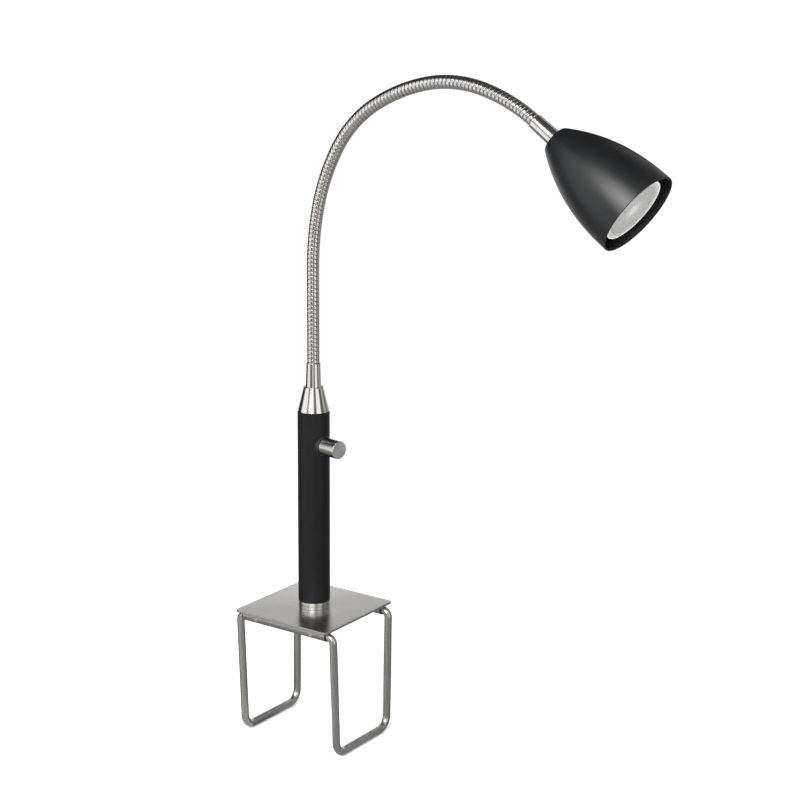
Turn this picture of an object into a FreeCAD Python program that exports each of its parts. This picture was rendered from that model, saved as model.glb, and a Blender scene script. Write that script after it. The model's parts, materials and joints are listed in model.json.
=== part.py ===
"""Clip-on reading lamp: a plate with two sliding wire loops that hangs over a board's top edge,
a post with a rotary dimmer, a gooseneck and a bullet shade round a twist-lock reflector bulb.

Frame: millimetres, +Z up along the post, +X towards the head, origin on the post's axis in the
plane that touches the undersides of the two guide tubes, where the lamp rests on the board.
"""
import FreeCAD, Part
import math
import os

import Sketcher
from FreeCAD import Placement, Rotation, Vector

DIMENSIONS = {
    # Plate and what passes through it
    "plate_side": 90.0,
    "plate_thickness": 2.0,
    "plate_corner": 3.0,
    "nipple_diameter": 10.0,
    "nipple_bore": 7.0,
    "nipple_bottom": 1.5,
    "nipple_length": 30.0,
    "washer_diameter": 20.0,
    "washer_thickness": 1.0,
    "nut_across_flats": 14.0,
    "nut_height": 4.0,
    "fit_clearance": 0.05,
    "loose_clearance": 0.2,
    # Guide tubes under the plate, and the loops that slide in them
    "guide_diameter": 8.0,
    "guide_bore": 6.4,
    "guide_half_length": 40.7,
    "guide_offset": 37.0,
    "ring_length": 0.8,
    "ring_bore": 7.0,
    "set_screw_station": 27.5,
    "set_screw_diameter": 3.0,
    "set_screw_proud": 0.3,
    "set_screw_tip": 3.35,
    "set_screw_socket": 1.5,
    "rod_diameter": 6.2,
    "rod_end_gap": 12.0,
    "left_reach": 46.0,
    "right_reach": 46.6,
    "loop_drop": 94.7,
    "loop_top_bend": 5.2,
    "loop_bottom_bend": 10.0,
    "front_lean": 4.6,
    "rear_lean": 1.3,
    # Post
    "collar_height": 5.5,
    "collar_groove_width": 0.8,
    "collar_groove_depth": 0.4,
    "spigot_height": 8.0,
    "post_diameter": 25.4,
    "post_wall": 1.5,
    "post_height": 155.75,
    "cone_height": 19.15,
    "cone_top_diameter": 15.8,
    "cone_edge": 0.25,
    # Cable outlet
    "outlet_height": 40.0,
    "outlet_azimuth": 125.0,
    "outlet_bore": 6.2,
    "grommet_waist": 8.4,
    "grommet_flange": 12.0,
    "grommet_reach": 15.3,
    "grommet_inner_reach": 8.8,
    # Dimmer and knob
    "knob_height": 144.9,
    "knob_azimuth": -12.0,
    "knob_diameter": 14.3,
    "knob_back": 14.0,
    "knob_front": 30.8,
    "knob_edge": 0.5,
    "seat_diameter": 15.4,
    "seat_front": 13.6,
    "shaft_diameter": 6.0,
    "shaft_bore": 6.1,
    "bush_diameter": 7.6,
    "dimmer_side": 14.0,
    "dimmer_height": 18.0,
    "dimmer_front": 6.5,
    # Wiring inside the post
    "terminal_width": 12.0,
    "terminal_depth": 15.0,
    "terminal_height": 18.0,
    "terminal_bottom": 58.0,
    "terminal_screw_diameter": 3.0,
    "lead_diameter": 2.2,
    "lead_offset": 1.4,
    # Gooseneck
    "neck_diameter": 10.1,
    "neck_bore": 5.6,
    "neck_gap": 1.3,
    "neck_straight": 74.66,
    "neck_bend_1_radius": 214.4,
    "neck_bend_1_turn": 12.87,
    "neck_bend_2_radius": 153.7,
    "neck_bend_2_turn": 17.95,
    "neck_bend_3_radius": 95.7,
    "neck_bend_3_turn": 28.83,
    "neck_bend_4_radius": 145.0,
    "neck_bend_4_turn": 19.03,
    "neck_bend_5_radius": 104.5,
    "neck_bend_5_turn": 26.4,
    "neck_bend_6_radius": 136.9,
    "neck_bend_6_turn": 20.16,
    "neck_socket": 10.0,
    # Ferrules at the gooseneck's two ends
    "ferrule_height": 18.45,
    "ferrule_wide": 12.5,
    "ferrule_narrow": 11.3,
    "ferrule_thread": 8.0,
    "ferrule_thread_length": 14.0,
    "head_ferrule_height": 20.3,
    "head_ferrule_wide": 12.2,
    "head_thread_length": 7.0,
    # Shade
    "shade_length": 80.0,
    "shade_mouth": 64.0,
    "shade_taper": 0.675,
    "shade_power": 2.32,
    "shade_wall": 1.2,
    # Lamp holder
    "holder_diameter": 24.0,
    "holder_bottom": 9.0,
    "holder_height": 15.0,
    "slot_inner": 4.2,
    "slot_outer": 15.8,
    "slot_depth": 10.0,
    "slot_angle": 92.0,
    "slot_lead": 36.0,
    "bracket_thickness": 1.2,
    "holder_screw_spacing": 18.0,
    "holder_screw_diameter": 3.0,
    # Bulb
    "bulb_diameter": 50.0,
    "bulb_recess": 4.2,
    "bulb_length": 51.0,
    "bulb_rim": 7.0,
    "bulb_wall": 1.5,
    "bulb_neck_diameter": 24.0,
    "bulb_base_height": 9.0,
    "lens_thickness": 2.2,
    "led_board_diameter": 40.0,
    "led_board_thickness": 1.6,
    "pin_diameter": 3.0,
    "pin_head_diameter": 5.0,
    "pin_spacing": 10.0,
    "pin_length": 7.0,
}

STRAIGHT_PIECES = 4
BEND_PIECES = (2, 2, 2, 2, 2, 3)
SHADE_STATIONS = 9

doc = FreeCAD.newDocument("ReadingLamp")
dims = doc.addObject("Spreadsheet::Sheet", "dims")
for row, (alias, value) in enumerate(DIMENSIONS.items(), start=1):
    dims.set(f"A{row}", str(value))
    dims.setAlias(f"A{row}", alias)
doc.recompute()

nodes = []


class Size:
    """A length or angle known as a number and as the sheet expression that gives it."""

    def __init__(self, number, text):
        self.number = number
        self.text = text

    @staticmethod
    def of(other):
        return other if isinstance(other, Size) else Size(float(other), repr(float(other)))

    def __add__(self, other):
        other = Size.of(other)
        return Size(self.number + other.number, f"({self.text} + {other.text})")

    def __sub__(self, other):
        other = Size.of(other)
        return Size(self.number - other.number, f"({self.text} - {other.text})")

    def __mul__(self, factor):
        return Size(self.number * factor, f"({self.text} * {factor})")

    def __truediv__(self, divisor):
        return Size(self.number / divisor, f"({self.text} / {divisor})")


def size(alias):
    return Size(float(dims.get(alias)), f"dims.{alias}")


def bind(item, expressions):
    for name, length in expressions.items():
        item.setExpression(name, Size.of(length).text)


def keep(item, label, placement=None):
    """Label a finished sub-part, place it and list it for export."""
    item.Label = label
    if placement is not None:
        item.Placement = placement
    nodes.append(item)
    return item


# Primitives and booleans

def cylinder(name, radius, height, base=(0, 0, 0), direction=None):
    item = doc.addObject("Part::Cylinder", name)
    if direction is not None:
        item.Placement = Placement(Vector(), Rotation(Vector(0, 0, 1), direction))
    bind(item, {"Radius": radius, "Height": height})
    bind(item, {f"Placement.Base.{letter}": length for letter, length in zip("xyz", base)})
    return item


def box(name, sides, base):
    item = doc.addObject("Part::Box", name)
    bind(item, dict(zip(("Length", "Width", "Height"), sides)))
    bind(item, {f"Placement.Base.{letter}": length for letter, length in zip("xyz", base)})
    return item


def hexagon(name, across_flats, height, base=(0, 0, 0), direction=None):
    item = doc.addObject("Part::Prism", name)
    if direction is not None:
        item.Placement = Placement(Vector(), Rotation(Vector(0, 0, 1), direction))
    bind(item, {"Circumradius": across_flats / math.sqrt(3), "Height": height})
    bind(item, {f"Placement.Base.{letter}": length for letter, length in zip("xyz", base)})
    return item


def join(name, items):
    item = doc.addObject("Part::MultiFuse", name)
    item.Shapes = items
    return item


def cut(name, base, tool):
    item = doc.addObject("Part::Cut", name)
    item.Base = base
    item.Tool = tool
    return item


# PartDesign bodies

def origin_plane(body, role):
    return next(plane for plane in body.Origin.OriginFeatures if plane.Role == role)


def new_sketch(body, name, role):
    sketch = body.newObject("Sketcher::SketchObject", name)
    sketch.AttachmentSupport = (origin_plane(body, role), [""])
    sketch.MapMode = "FlatFace"
    return sketch


def pin_point(sketch, geometry, point, across, up):
    """Hold a sketch point at two sizes from the sketch's origin."""
    for kind, length, axis in (("DistanceX", across, -2), ("DistanceY", up, -1)):
        length = Size.of(length)
        if length.number == 0:
            sketch.addConstraint(Sketcher.Constraint("PointOnObject", geometry, point, axis))
        else:
            index = sketch.addConstraint(
                Sketcher.Constraint(kind, -1, 1, geometry, point, length.number))
            sketch.setExpression(f"Constraints[{index}]", length.text)


def polygon(sketch, corners):
    corners = [(Size.of(across), Size.of(up)) for across, up in corners]
    points = [Vector(across.number, up.number, 0) for across, up in corners]
    count = len(points)
    for index in range(count):
        sketch.addGeometry(Part.LineSegment(points[index], points[(index + 1) % count]))
    for index, (across, up) in enumerate(corners):
        sketch.addConstraint(Sketcher.Constraint("Coincident", index, 2, (index + 1) % count, 1))
        pin_point(sketch, index, 1, across, up)


def circle(sketch, radius, across=0, up=0):
    across, up, radius = Size.of(across), Size.of(up), Size.of(radius)
    centre = Vector(across.number, up.number, 0)
    geometry = sketch.addGeometry(Part.Circle(centre, Vector(0, 0, 1), radius.number))
    pin_point(sketch, geometry, 3, across, up)
    index = sketch.addConstraint(Sketcher.Constraint("Radius", geometry, radius.number))
    sketch.setExpression(f"Constraints[{index}]", radius.text)


def turned(label, outline, placement=None):
    """A lathe piece: (radius, height) corners turned about the piece's own Z axis."""
    body = doc.addObject("PartDesign::Body", label)
    sketch = new_sketch(body, f"{label}_outline", "XZ_Plane")
    polygon(sketch, outline)
    revolution = body.newObject("PartDesign::Revolution", f"{label}_turning")
    revolution.Profile = sketch
    revolution.ReferenceAxis = (sketch, ["V_Axis"])
    revolution.Angle = 360
    return keep(body, label, placement)


def raised(height):
    return Placement(Vector(0, 0, Size.of(height).number), Rotation())


# Heights up the post, each from the plane that the lamp rests on

plate_bottom = size("guide_diameter")
plate_top = plate_bottom + size("plate_thickness")
collar_top = plate_top + size("collar_height")
spigot_top = collar_top + size("spigot_height")
post_top = collar_top + size("post_height")
cone_top = post_top + size("cone_height")
ferrule_top = cone_top + size("ferrule_height")
post_bore = size("post_diameter") - size("post_wall") * 2
spigot_radius = post_bore / 2 - size("fit_clearance")


# Plate and fastenings

def make_base_plate():
    body = doc.addObject("PartDesign::Body", "base_plate")
    sketch = new_sketch(body, "plate_outline", "XY_Plane")
    half = size("plate_side") / 2
    polygon(sketch, [(half * -1, half * -1), (half, half * -1), (half, half), (half * -1, half)])
    pad = body.newObject("PartDesign::Pad", "plate_sheet")
    pad.Profile = sketch
    bind(pad, {"Length": size("plate_thickness")})
    hole_sketch = new_sketch(body, "plate_hole_outline", "XY_Plane")
    circle(hole_sketch, size("nipple_diameter") / 2 + size("loose_clearance"))
    hole = body.newObject("PartDesign::Pocket", "plate_hole")
    hole.Profile = hole_sketch
    hole.Type = "ThroughAll"
    hole.Midplane = True
    doc.recompute()
    corners = body.newObject("PartDesign::Fillet", "plate_corners")
    upright = [f"Edge{index}" for index, edge in enumerate(hole.Shape.Edges, start=1)
               if len(edge.Vertexes) == 2 and edge.BoundBox.ZLength > 1
               and edge.BoundBox.DiagonalLength < edge.BoundBox.ZLength + 0.01
               and edge.CenterOfMass.Length > half.number]
    corners.Base = (hole, upright)
    bind(corners, {"Radius": size("plate_corner")})
    keep(body, "base_plate", raised(plate_bottom))


def make_nipple():
    outer = size("nipple_diameter") / 2
    inner = size("nipple_bore") / 2
    height = size("nipple_length")
    turned("threaded_nipple", [(inner, 0), (outer, 0), (outer, height), (inner, height)],
           raised(size("nipple_bottom")))


def make_washer():
    inner = size("nipple_diameter") / 2 + size("loose_clearance")
    outer = size("washer_diameter") / 2
    height = size("washer_thickness")
    turned("under_plate_washer", [(inner, 0), (outer, 0), (outer, height), (inner, height)],
           raised(plate_bottom - height))


def make_nut(label, thread_diameter, height, placement):
    """A hexagon nut whose bore clears its thread by the fit clearance."""
    blank = hexagon(f"{label}_blank", size("nut_across_flats"), height)
    bore = cylinder(f"{label}_bore", thread_diameter / 2 + size("fit_clearance"), height)
    keep(cut(label, blank, bore), label, placement)


def make_plate_fastenings():
    thread = size("nipple_diameter")
    height = size("nut_height")
    make_nipple()
    make_washer()
    make_nut("under_plate_nut", thread, height,
             raised(plate_bottom - size("washer_thickness") - height))
    make_nut("post_lock_nut", thread, height, raised(spigot_top))


# Guide tubes and loops

def along_x(name, diameter, half_length, offset):
    return cylinder(name, diameter / 2, half_length * 2,
                    (half_length * -1, offset, size("guide_diameter") / 2), Vector(1, 0, 0))


def guide_screw_places():
    """(station along X, offset along Y, which way is outwards) of each set screw."""
    for outward in (-1, 1):
        for end in (-1, 1):
            yield size("set_screw_station") * end, size("guide_offset") * outward, outward


def make_guides():
    for label, outward in (("front_guide_tube", -1), ("rear_guide_tube", 1)):
        offset = size("guide_offset") * outward
        half_length = size("guide_half_length")
        tube = cut(f"{label}_bored",
                   along_x(f"{label}_outside", size("guide_diameter"), half_length, offset),
                   along_x(f"{label}_bore", size("guide_bore"), half_length, offset))
        holes = [cylinder(f"{label}_screw_hole", size("set_screw_diameter") / 2,
                          size("guide_diameter"),
                          (station, screw_offset, size("guide_diameter") / 2),
                          Vector(0, side, 0))
                 for station, screw_offset, side in guide_screw_places() if side == outward]
        keep(cut(label, tube, join(f"{label}_screw_holes", holes)), label)


def make_guide_rings():
    """Plastic rings that line the four mouths of the guide tubes."""
    height = size("guide_diameter") / 2
    rings = []
    for outward in (-1, 1):
        for end in (-1, 1):
            start = (size("guide_half_length") * end, size("guide_offset") * outward, height)
            way = Vector(end, 0, 0)
            rim = cylinder("ring_outside", height, size("ring_length"), start, way)
            mouth = cylinder("ring_mouth", size("ring_bore") / 2, size("ring_length"), start, way)
            rings.append(cut("ring", rim, mouth))
    keep(join("guide_end_rings", rings), "guide_end_rings")


def make_guide_screws():
    """Grub screws through the tubes' outer sides that lock the loops at their width."""
    proud = size("guide_diameter") / 2 + size("set_screw_proud")
    length = proud - size("set_screw_tip")
    screws = []
    for station, offset, outward in guide_screw_places():
        way = Vector(0, outward, 0)
        middle = size("guide_diameter") / 2
        tip = (station, offset + size("set_screw_tip") * outward, middle)
        socket_floor = (station, offset + (proud - length / 2) * outward, middle)
        shank = cylinder("set_screw_shank", size("set_screw_diameter") / 2, length, tip, way)
        socket = hexagon("set_screw_socket_cut", size("set_screw_socket"), length,
                         socket_floor, way)
        screws.append(cut("set_screw", shank, socket))
    keep(join("guide_set_screws", screws), "guide_set_screws")


def rounded_path(points, radii):
    """Straight runs through the points, joined by tangent arcs of the given radii."""
    edges = []
    start = points[0]
    for before, corner, after, radius in zip(points, points[1:], points[2:], radii):
        inward = (before - corner).normalize()
        outward = (after - corner).normalize()
        half_angle = inward.getAngle(outward) / 2
        reach = radius / math.tan(half_angle)
        arc_start = corner + inward * reach
        arc_end = corner + outward * reach
        middle = corner + (inward + outward).normalize() * (radius / math.sin(half_angle) - radius)
        edges.append(Part.LineSegment(start, arc_start).toShape())
        edges.append(Part.Arc(arc_start, middle, arc_end).toShape())
        start = arc_end
    edges.append(Part.LineSegment(start, points[-1]).toShape())
    return Part.Wire(edges)


def swept_rod(path, diameter):
    first = path.Edges[0]
    start = first.valueAt(first.FirstParameter)
    direction = first.tangentAt(first.FirstParameter)
    section = Part.Wire(Part.Circle(start, direction, diameter / 2).toShape())
    rod = path.makePipeShell([section], True, False)
    expected = math.pi * diameter ** 2 / 4 * path.Length
    if abs(rod.Volume / expected - 1) > 0.01:
        raise RuntimeError("a rod's sweep has the wrong volume")
    return rod


def make_loop(label, end, reach):
    """A wire loop below one end of the guides. End is -1 for the -X end, 1 for the +X end."""
    offset = size("guide_offset").number
    height = size("guide_diameter").number / 2
    inner = end * size("rod_end_gap").number / 2
    outer = end * reach.number
    bottom = -size("loop_drop").number
    front = -offset + size("front_lean").number
    rear = offset - size("rear_lean").number
    top_bend = size("loop_top_bend").number
    bottom_bend = size("loop_bottom_bend").number
    path = rounded_path([Vector(inner, -offset, height), Vector(outer, -offset, height),
                         Vector(outer, front, bottom), Vector(outer, rear, bottom),
                         Vector(outer, offset, height), Vector(inner, offset, height)],
                        [top_bend, bottom_bend, bottom_bend, top_bend])
    item = doc.addObject("Part::Feature", label)
    item.Shape = swept_rod(path, size("rod_diameter").number)
    keep(item, label, Placement())


# Post

def make_collar():
    """Turned ring under the post, with a fine groove, and a spigot that centres the tube."""
    bore = size("nipple_diameter") / 2 + size("fit_clearance")
    outer = size("post_diameter") / 2
    groove = outer - size("collar_groove_depth")
    height = size("collar_height")
    groove_low = (height - size("collar_groove_width")) / 2
    groove_high = groove_low + size("collar_groove_width")
    top = height + size("spigot_height")
    turned("base_collar", [(bore, 0), (outer, 0), (outer, groove_low), (groove, groove_low),
                           (groove, groove_high), (outer, groove_high), (outer, height),
                           (spigot_radius, height), (spigot_radius, top), (bore, top)],
           raised(plate_top))


def level_direction(alias):
    """Level direction at an azimuth from the sheet."""
    azimuth = math.radians(size(alias).number)
    return Vector(math.cos(azimuth), math.sin(azimuth), 0)


def knob_direction():
    return level_direction("knob_azimuth")


def make_post_tube():
    height = size("post_height")
    outside = cylinder("post_outside", size("post_diameter") / 2, height, (0, 0, collar_top))
    inside = cylinder("post_inside", post_bore / 2, height, (0, 0, collar_top))
    knob_hole = cylinder("post_knob_hole", size("bush_diameter") / 2, size("post_diameter"),
                         (0, 0, size("knob_height")), knob_direction())
    outlet = cylinder("post_outlet_hole", size("grommet_waist") / 2, size("post_diameter"),
                      (0, 0, size("outlet_height")), level_direction("outlet_azimuth"))
    tools = join("post_cuts", [inside, knob_hole, outlet])
    keep(cut("post_tube", outside, tools), "post_tube")


def make_cone_cap():
    bore = size("ferrule_thread") / 2 + size("fit_clearance")
    spigot = size("spigot_height")
    edge = size("cone_edge")
    top = spigot + size("cone_height")
    wide = size("post_diameter") / 2
    narrow = size("cone_top_diameter") / 2
    turned("cone_cap", [(bore, 0), (spigot_radius, 0), (spigot_radius, spigot), (wide, spigot),
                        (wide, spigot + edge), (narrow, top - edge), (narrow - edge, top),
                        (bore, top)],
           raised(post_top - spigot))


def make_grommet():
    """Rubber bush in the post's outlet hole. Its bore is where a mains lead would pass."""
    axis_height = size("outlet_height")
    back = level_direction("outlet_azimuth")
    outer_end = size("grommet_reach")
    inner_end = size("grommet_inner_reach")
    length = outer_end - inner_end
    start = (inner_end * back.x, inner_end * back.y, axis_height)
    waist = cylinder("grommet_waist_blank", size("grommet_waist") / 2, length, start, back)
    flange = cylinder("grommet_flange_blank", size("grommet_flange") / 2, length, start, back)
    tall = size("grommet_flange") * 2
    low = axis_height - size("grommet_flange")
    wall_outside = cylinder("grommet_wall_outside", size("post_diameter") / 2, tall, (0, 0, low))
    wall_inside = cylinder("grommet_wall_inside", post_bore / 2, tall, (0, 0, low))
    wall = cut("grommet_wall", wall_outside, wall_inside)
    solid = join("grommet_solid", [cut("grommet_flanges", flange, wall), waist])
    bore = cylinder("grommet_bore", size("outlet_bore") / 2, length, start, back)
    keep(cut("cable_grommet", solid, bore), "cable_grommet")


def make_terminal_block():
    width = size("terminal_width")
    depth = size("terminal_depth")
    height = size("terminal_height")
    bottom = size("terminal_bottom")
    blank = box("terminal_blank", (width, depth, height), (width * -0.5, depth * -0.5, bottom))
    screw_radius = size("terminal_screw_diameter") / 2
    wells = []
    screws = []
    for side in (-1, 0, 1):
        across = depth * (0.3 * side)
        level = bottom + height * 0.5
        wells.append(cylinder("terminal_well", screw_radius, width / 2, (0, across, level),
                              Vector(1, 0, 0)))
        screws.append(cylinder("terminal_screw", screw_radius - size("fit_clearance"), width / 3,
                               (0, across, level), Vector(1, 0, 0)))
    keep(cut("terminal_block", blank, join("terminal_wells", wells)), "terminal_block")
    keep(join("terminal_screws", screws), "terminal_screws")


def lead_pair(name, bottom, top, offset):
    """Two straight insulated leads side by side, from one height to another."""
    leads = [cylinder(f"{name}_lead", size("lead_diameter") / 2, top - bottom,
                      (offset * side, 0, bottom)) for side in (-1, 1)]
    return join(name, leads)


def make_post_leads():
    dimmer_low = size("knob_height") - size("dimmer_height") / 2
    dimmer_high = size("knob_height") + size("dimmer_height") / 2
    lower = lead_pair("lower_leads", size("terminal_bottom") + size("terminal_height"),
                      dimmer_low, size("terminal_width") / 4)
    upper = lead_pair("upper_leads", dimmer_high, ferrule_top, size("lead_offset"))
    keep(join("post_leads", [lower, upper]), "post_leads")


# Dimmer and knob, turned about the knob's axis: their own Z runs outwards from the post's axis

def knob_frame(distance=0):
    """Placement at a distance out from the post's axis along the knob's axis."""
    along = knob_direction()
    start = Vector(0, 0, size("knob_height").number) + along * Size.of(distance).number
    across = Vector(0, 0, 1).cross(along)
    return Placement(start, Rotation(across, Vector(0, 0, 1), along, "ZXY"))


def make_dimmer():
    side = size("dimmer_side")
    height = size("dimmer_height")
    front = size("dimmer_front")
    bush = size("bush_diameter") / 2 - size("fit_clearance")
    bore = size("shaft_bore") / 2
    blank = box("dimmer_blank", (side, height, side), (side * -0.5, height * -0.5, 0))
    well = cylinder("dimmer_well", bore, side / 2, (0, 0, side / 2))
    keep(cut("dimmer_body", blank, well), "dimmer_body", knob_frame(front - side))
    length = size("seat_front") - front
    turned("dimmer_bush", [(bore, 0), (bush, 0), (bush, length), (bore, length)],
           knob_frame(front))


def make_knob_seat():
    """Black ring under the knob, saddle-shaped where it sits on the round post."""
    outer = size("seat_diameter") / 2
    inner = size("bush_diameter") / 2
    start = (0, 0, size("knob_height"))
    ring = cylinder("seat_blank", outer, size("seat_front"), start, knob_direction())
    tall = size("seat_diameter") * 2
    low = size("knob_height") - size("seat_diameter")
    post = cylinder("seat_post", size("post_diameter") / 2, tall, (0, 0, low))
    hole = cylinder("seat_hole", inner, size("seat_front"), start, knob_direction())
    keep(cut("knob_seat", ring, join("seat_cuts", [post, hole])), "knob_seat")


def make_knob():
    outer = size("knob_diameter") / 2
    length = size("knob_front") - size("knob_back")
    edge = size("knob_edge")
    bore = size("shaft_diameter") / 2 + size("fit_clearance")
    depth = length * 0.7
    turned("knob", [(bore, 0), (outer - edge, 0), (outer, edge), (outer, length - edge),
                    (outer - edge, length), (0, length), (0, depth), (bore, depth)],
           knob_frame(size("knob_back")))
    shaft = size("shaft_diameter") / 2
    start = size("dimmer_front") - size("dimmer_side") / 4
    shaft_length = size("knob_back") + depth - start - edge
    turned("knob_shaft", [(0, 0), (shaft, 0), (shaft, shaft_length), (0, shaft_length)],
           knob_frame(start))


# Gooseneck: a straight run and six bends, all in the plane Y = 0

def make_neck_piece(label, extent, radius, placement):
    """A length of tube: a straight length in mm, or a turn in degrees about a bend's centre."""
    body = doc.addObject("PartDesign::Body", label)
    sketch = new_sketch(body, f"{label}_section", "XY_Plane")
    centre = 0 if radius is None else radius
    circle(sketch, size("neck_diameter") / 2, centre)
    circle(sketch, size("neck_bore") / 2, centre)
    if radius is None:
        feature = body.newObject("PartDesign::Pad", f"{label}_length")
        feature.Profile = sketch
        bind(feature, {"Length": extent})
    else:
        feature = body.newObject("PartDesign::Revolution", f"{label}_bend")
        feature.Profile = sketch
        feature.ReferenceAxis = (sketch, ["V_Axis"])
        bind(feature, {"Angle": extent})
    keep(body, label, placement)


def neck_runs():
    """(bend radius or None, length or turn, number of pieces) of each run, from the bottom."""
    yield None, size("neck_straight"), STRAIGHT_PIECES
    for number, count in enumerate(BEND_PIECES, start=1):
        yield size(f"neck_bend_{number}_radius"), size(f"neck_bend_{number}_turn"), count


def neck_tangent(lean):
    """Direction of the gooseneck where it leans this many degrees from upright."""
    return Vector(math.sin(math.radians(lean)), 0, math.cos(math.radians(lean)))


def make_neck():
    """Build the pieces from the bottom up and return where the gooseneck ends, and its lean."""
    gap = size("neck_gap")
    total = STRAIGHT_PIECES + sum(BEND_PIECES)
    point = Vector(0, 0, ferrule_top.number)
    lean = 0.0
    number = 0
    for radius, whole, count in neck_runs():
        inward = Vector(math.cos(math.radians(lean)), 0, -math.sin(math.radians(lean)))
        trim = gap if radius is None else Size(
            math.degrees(gap.number / radius.number), f"({gap.text} / {radius.text} * 180 / pi)")
        share = whole / count
        for index in range(count):
            number += 1
            label = f"neck_segment_{number:02d}"
            first_trim = trim * (0 if number == 1 else 0.5)
            last_trim = trim * (0 if number == total else 0.5)
            extent = share - first_trim - last_trim
            if radius is None:
                start = share.number * index + first_trim.number
                if number == 1:
                    extent = extent + size("neck_socket")
                    start -= size("neck_socket").number
                make_neck_piece(label, extent, None, Placement(point + Vector(0, 0, start),
                                                               Rotation()))
            else:
                turned_by = lean + share.number * index + first_trim.number
                make_neck_piece(label, extent, radius,
                                Placement(point + inward * radius.number,
                                          Rotation(Vector(0, 1, 0), 180 + turned_by)))
        if radius is None:
            point = point + Vector(0, 0, whole.number)
        else:
            centre = point + inward * radius.number
            lean += whole.number
            end = Vector(-math.cos(math.radians(lean)), 0, math.sin(math.radians(lean)))
            point = centre + end * radius.number
    return point, lean


def make_lower_ferrule():
    wire_bore = size("neck_bore") / 2
    socket = size("neck_diameter") / 2 + size("fit_clearance")
    thread = size("ferrule_thread") / 2
    base = size("ferrule_thread_length")
    top = base + size("ferrule_height")
    floor = top - size("neck_socket")
    turned("lower_ferrule", [(wire_bore, 0), (thread, 0), (thread, base),
                             (size("ferrule_wide") / 2, base), (size("ferrule_narrow") / 2, top),
                             (socket, top), (socket, floor), (wire_bore, floor)],
           raised(cone_top - base))


# Head, built along its own Z axis from the shade's back towards its mouth

def head_frame(neck_end, lean):
    along = neck_tangent(lean)
    back = neck_end + along * size("head_ferrule_height").number
    return Placement(back, Rotation(Vector(0, 1, 0), lean))


def along_head(frame, height):
    return frame.multiply(raised(height))


def make_upper_ferrule(frame):
    wire_bore = size("neck_bore") / 2
    body_height = size("head_ferrule_height")
    top = body_height + size("head_thread_length")
    thread = size("nipple_diameter") / 2
    turned("upper_ferrule", [(wire_bore, 0), (size("ferrule_narrow") / 2, 0),
                             (size("head_ferrule_wide") / 2, body_height), (thread, body_height),
                             (thread, top), (wire_bore, top)],
           along_head(frame, body_height * -1))


def shade_radius(height):
    """Outer radius of the shade at a height above its back."""
    share = 1 - height / size("shade_length").number
    slimming = size("shade_taper").number * max(share, 0) ** size("shade_power").number
    return size("shade_mouth").number / 2 * (1 - slimming)


def shade_curve(inset, start):
    """Meridian of the shade moved in by a wall's thickness, from a height up to the mouth."""
    length = size("shade_length").number
    step = (length - start) / (SHADE_STATIONS - 1)
    heights = [start + step * index for index in range(SHADE_STATIONS)]
    curve = Part.BSplineCurve()
    curve.interpolate([Vector(shade_radius(height) - inset, 0, height) for height in heights])
    return curve.toShape()


def make_shade(frame):
    """Spun shell: an even wall, open at the mouth, with a hole in its back for the ferrule."""
    wall = size("shade_wall").number
    hole = size("nipple_diameter").number / 2 + size("loose_clearance").number
    outer = shade_curve(0, 0)
    inner = shade_curve(wall, wall)
    outer_back, outer_mouth = outer.Vertexes[0].Point, outer.Vertexes[-1].Point
    inner_back, inner_mouth = inner.Vertexes[0].Point, inner.Vertexes[-1].Point
    hole_low, hole_high = Vector(hole, 0, 0), Vector(hole, 0, wall)
    edges = [Part.LineSegment(hole_low, outer_back).toShape(), outer,
             Part.LineSegment(outer_mouth, inner_mouth).toShape(), inner,
             Part.LineSegment(inner_back, hole_high).toShape(),
             Part.LineSegment(hole_high, hole_low).toShape()]
    face = Part.Face(Part.Wire(Part.sortEdges(edges)[0]))
    item = doc.addObject("Part::Feature", "shade")
    item.Shape = face.revolve(Vector(0, 0, 0), Vector(0, 0, 1), 360)
    keep(item, "shade", frame)


def make_holder(frame):
    """Ceramic lamp holder with two curved slots, in which the bulb's pins turn and lock."""
    height = size("holder_height")
    radius = size("holder_diameter") / 2
    floor = height - size("slot_depth")
    blank = cylinder("holder_blank", radius, height)
    slots = []
    for half_turn in (0, 180):
        wide = cylinder("slot_wide", size("slot_outer") / 2, size("slot_depth"), (0, 0, floor))
        core = cylinder("slot_core", size("slot_inner") / 2, size("slot_depth"), (0, 0, floor))
        wide.Placement.Rotation = Rotation(half_turn - size("slot_lead").number, 0, 0)
        bind(wide, {"Angle": size("slot_angle")})
        slots.append(cut("slot", wide, core))
    spacing = size("holder_screw_spacing") / 2
    screw = size("holder_screw_diameter") / 2
    holes = [cylinder("holder_screw_hole", screw, height, (0, spacing * side, 0))
             for side in (-1, 1)]
    cuts = join("holder_cuts", slots + holes)
    keep(cut("lamp_holder", blank, cuts), "lamp_holder",
         along_head(frame, size("holder_bottom")))


def make_holder_bracket(frame):
    """Disc on the ferrule's thread that the lamp holder is screwed to."""
    thickness = size("bracket_thickness")
    blank = cylinder("bracket_blank", size("holder_diameter") / 2, thickness)
    centre = cylinder("bracket_centre", size("nipple_bore") / 2, thickness)
    spacing = size("holder_screw_spacing") / 2
    screw = size("holder_screw_diameter") / 2
    holes = [cylinder("bracket_hole", screw, thickness, (0, spacing * side, 0))
             for side in (-1, 1)]
    keep(cut("holder_bracket", blank, join("bracket_cuts", holes + [centre])), "holder_bracket",
         along_head(frame, size("head_thread_length")))


def make_holder_screws(frame):
    spacing = size("holder_screw_spacing") / 2
    length = size("holder_bottom") + size("holder_height") / 2 - size("head_thread_length")
    radius = size("holder_screw_diameter") / 2 - size("fit_clearance")
    screws = [cylinder("holder_screw", radius, length, (0, spacing * side, 0)) for side in (-1, 1)]
    keep(join("holder_screws", screws), "holder_screws",
         along_head(frame, size("head_thread_length")))


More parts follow.
